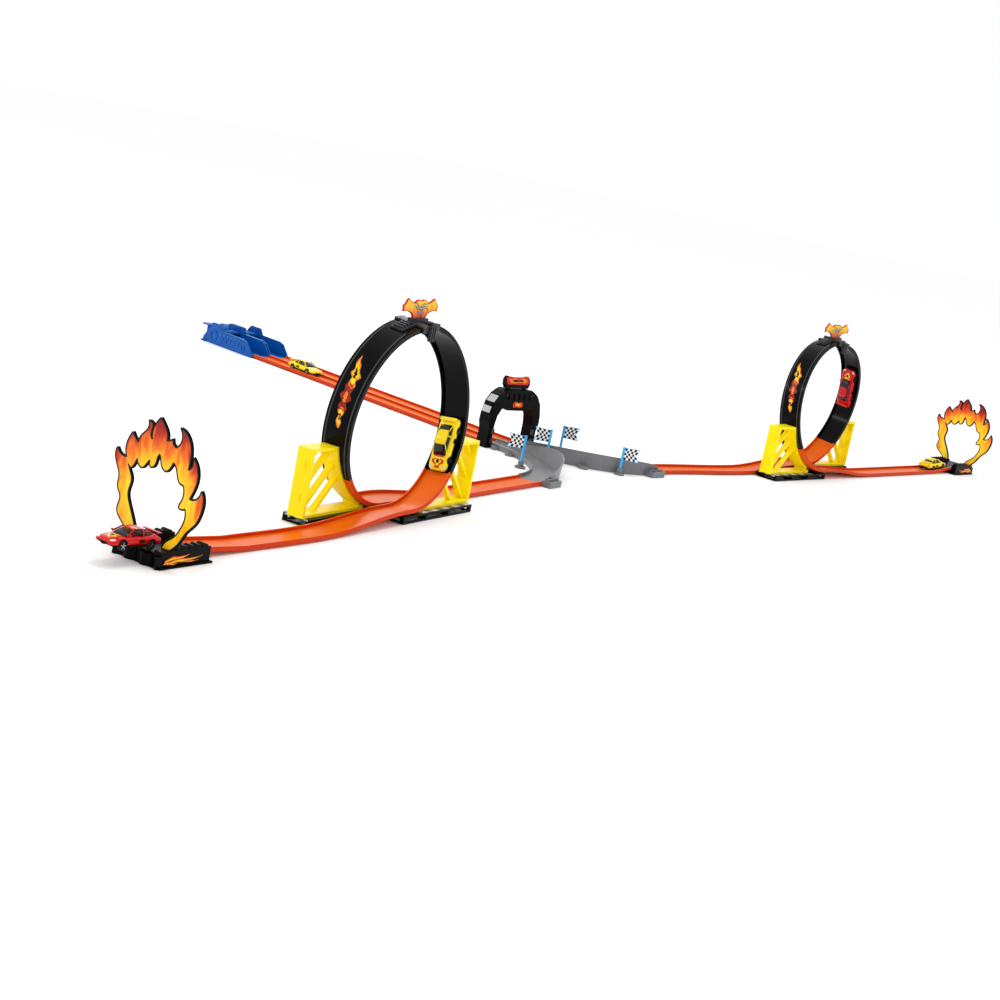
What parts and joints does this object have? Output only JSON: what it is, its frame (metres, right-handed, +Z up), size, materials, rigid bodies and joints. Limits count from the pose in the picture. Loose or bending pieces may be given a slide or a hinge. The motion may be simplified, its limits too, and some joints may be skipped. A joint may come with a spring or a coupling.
{
  "type": "toy car track set",
  "caption": "Launcher-driven toy car track set: two launch lanes split through a gate into banked curves, stunt loops and jumps through flame rings.",
  "frame": {"origin": "bottom centre of the whole set", "axes": "+X from the left ring to the right ring, +Y from the splitter to the launcher, +Z up"},
  "size_m": [2.4252, 1.3982, 0.2937],
  "materials": {
    "connector_plastic": "matte",
    "lane_orange": "gloss",
    "loop_black": "gloss",
    "clip_grey": "satin",
    "flame_sign": "printed",
    "support_yellow": "gloss",
    "base_black": "satin",
    "flame_print": "printed",
    "launcher_blue": "gloss",
    "launcher_plate": "matte",
    "ram_blue": "gloss",
    "trigger_orange": "gloss",
    "spring_steel": "bright",
    "gate_black": "satin",
    "gate_sign_red": "printed",
    "splitter_grey": "satin",
    "pole_blue": "gloss",
    "pennant_print": "printed",
    "socket_grey": "satin",
    "chassis_black": "matte",
    "wheel_dark": "satin",
    "car_red": "gloss",
    "car_yellow": "gloss"
  },
  "bodies": {
    "track_layout": {"launch_lane_west": "lane_orange", "launch_lane_east": "lane_orange", "lane_connectors": "connector_plastic", "launcher_housing": "launcher_blue", "launcher_base_plate": "launcher_plate", "launcher_springs": "spring_steel", "gate_left_leg": "gate_black", "gate_right_leg": "gate_black", "gate_beam": "gate_black", "gate_sign": "gate_sign_red", "splitter_plate": "splitter_grey", "west_curve": "splitter_grey", "east_curve": "splitter_grey", "flag_poles": "pole_blue", "flag_pennants": "pennant_print", "flag_sockets": "socket_grey", "left_loop_rising_half": "loop_black", "left_loop_falling_half": "loop_black", "left_loop_clip": "clip_grey", "left_loop_sign": "flame_sign", "left_loop_supports": "support_yellow", "left_loop_base": "base_black", "left_entry_track": "lane_orange", "left_exit_track": "lane_orange", "right_loop_rising_half": "loop_black", "right_loop_falling_half": "loop_black", "right_loop_clip": "clip_grey", "right_loop_sign": "flame_sign", "right_loop_supports": "support_yellow", "right_loop_base": "base_black", "right_entry_track": "lane_orange", "right_exit_track": "lane_orange", "left_flame_ring": "flame_print", "left_ring_base": "base_black", "right_flame_ring": "flame_print", "right_ring_base": "base_black"},
    "launcher_ram_west": {"launcher_ram_west": "ram_blue"},
    "launcher_trigger_west": {"launcher_trigger_west": "trigger_orange"},
    "launcher_ram_east": {"launcher_ram_east": "ram_blue"},
    "launcher_trigger_east": {"launcher_trigger_east": "trigger_orange"},
    "launch_car": {"launch_car_body": "car_yellow", "launch_car_chassis": "chassis_black"},
    "launch_car_rear_axle": {"launch_car_rear_axle": "wheel_dark"},
    "launch_car_front_axle": {"launch_car_front_axle": "wheel_dark"},
    "left_loop_car": {"left_loop_car_body": "car_yellow", "left_loop_car_chassis": "chassis_black"},
    "left_loop_car_rear_axle": {"left_loop_car_rear_axle": "wheel_dark"},
    "left_loop_car_front_axle": {"left_loop_car_front_axle": "wheel_dark"},
    "right_loop_car": {"right_loop_car_body": "car_red", "right_loop_car_chassis": "chassis_black"},
    "right_loop_car_rear_axle": {"right_loop_car_rear_axle": "wheel_dark"},
    "right_loop_car_front_axle": {"right_loop_car_front_axle": "wheel_dark"},
    "finish_car": {"finish_car_body": "car_yellow", "finish_car_chassis": "chassis_black"},
    "finish_car_rear_axle": {"finish_car_rear_axle": "wheel_dark"},
    "finish_car_front_axle": {"finish_car_front_axle": "wheel_dark"},
    "jump_car": {"jump_car_body": "car_red", "jump_car_chassis": "chassis_black"},
    "jump_car_rear_axle": {"jump_car_rear_axle": "wheel_dark"},
    "jump_car_front_axle": {"jump_car_front_axle": "wheel_dark"}
  },
  "joints": [
    {"name": "launcher_ram_west_pull", "type": "slide", "parent": "track_layout", "child": "launcher_ram_west", "axis": [0, 1, 0], "range_m": [0, 0.026], "stiffness_N_per_m": 150},
    {"name": "launcher_trigger_west_press", "type": "slide", "parent": "track_layout", "child": "launcher_trigger_west", "axis": [0, 0, -1], "range_m": [0, 0.003], "stiffness_N_per_m": 300},
    {"name": "launcher_ram_east_pull", "type": "slide", "parent": "track_layout", "child": "launcher_ram_east", "axis": [0, 1, 0], "range_m": [0, 0.026], "stiffness_N_per_m": 150},
    {"name": "launcher_trigger_east_press", "type": "slide", "parent": "track_layout", "child": "launcher_trigger_east", "axis": [0, 0, -1], "range_m": [0, 0.003], "stiffness_N_per_m": 300},
    {"name": "launch_car_travel", "type": "slide", "parent": "track_layout", "child": "launch_car", "axis": [0, -1, 0], "range_m": [-0.17, 0.42]},
    {"name": "launch_car_rear_axle_roll", "type": "hinge", "parent": "launch_car", "child": "launch_car_rear_axle", "pos_m": [-0.08654, 0.40171, 0.00932], "axis": [1, 0, 0], "continuous": true},
    {"name": "launch_car_front_axle_roll", "type": "hinge", "parent": "launch_car", "child": "launch_car_front_axle", "pos_m": [-0.08654, 0.35871, 0.00932], "axis": [1, 0, 0], "continuous": true},
    {"name": "left_loop_car_travel", "type": "hinge", "parent": "track_layout", "child": "left_loop_car", "pos_m": [-0.67494, -0.51638, 0.13722], "axis": [-0.2576, 0.9615, -0.096], "range_deg": [-60, 33]},
    {"name": "left_loop_car_rear_axle_roll", "type": "hinge", "parent": "left_loop_car", "child": "left_loop_car_rear_axle", "pos_m": [-0.56296, -0.4887, 0.11392], "axis": [0.2576, -0.9615, 0.096], "continuous": true},
    {"name": "left_loop_car_front_axle_roll", "type": "hinge", "parent": "left_loop_car", "child": "left_loop_car_front_axle", "pos_m": [-0.57752, -0.49657, 0.07424], "axis": [0.2576, -0.9615, 0.096], "continuous": true},
    {"name": "right_loop_car_travel", "type": "hinge", "parent": "track_layout", "child": "right_loop_car", "pos_m": [0.58233, -0.31981, 0.13722], "axis": [0.0521, -0.994, -0.096], "range_deg": [-45, 45]},
    {"name": "right_loop_car_rear_axle_roll", "type": "hinge", "parent": "right_loop_car", "child": "right_loop_car_rear_axle", "pos_m": [0.69917, -0.31496, 0.15043], "axis": [-0.0521, 0.994, 0.096], "continuous": true},
    {"name": "right_loop_car_front_axle_roll", "type": "hinge", "parent": "right_loop_car", "child": "right_loop_car_front_axle", "pos_m": [0.68682, -0.31956, 0.19136], "axis": [-0.0521, 0.994, 0.096], "continuous": true},
    {"name": "finish_car_travel", "type": "slide", "parent": "track_layout", "child": "finish_car", "axis": [0.9956, 0.0522, 0.0785], "range_m": [-0.005, 0.06]},
    {"name": "finish_car_rear_axle_roll", "type": "hinge", "parent": "finish_car", "child": "finish_car_rear_axle", "pos_m": [1.05828, -0.32975, 0.0099], "axis": [-0.0523, 0.9986, 0], "continuous": true},
    {"name": "finish_car_front_axle_roll", "type": "hinge", "parent": "finish_car", "child": "finish_car_front_axle", "pos_m": [1.10109, -0.3275, 0.01327], "axis": [-0.0523, 0.9986, 0], "continuous": true},
    {"name": "jump_car_travel", "type": "slide", "parent": "track_layout", "child": "jump_car", "axis": [-0.9786, -0.1902, 0.0785], "range_m": [-0.07, 0.02]},
    {"name": "jump_car_rear_axle_roll", "type": "hinge", "parent": "jump_car", "child": "jump_car_rear_axle", "pos_m": [-1.15147, -0.63401, 0.02127], "axis": [0.1908, -0.9816, 0], "continuous": true},
    {"name": "jump_car_front_axle_roll", "type": "hinge", "parent": "jump_car", "child": "jump_car_front_axle", "pos_m": [-1.19355, -0.64219, 0.02465], "axis": [0.1908, -0.9816, 0], "continuous": true}
  ]
}
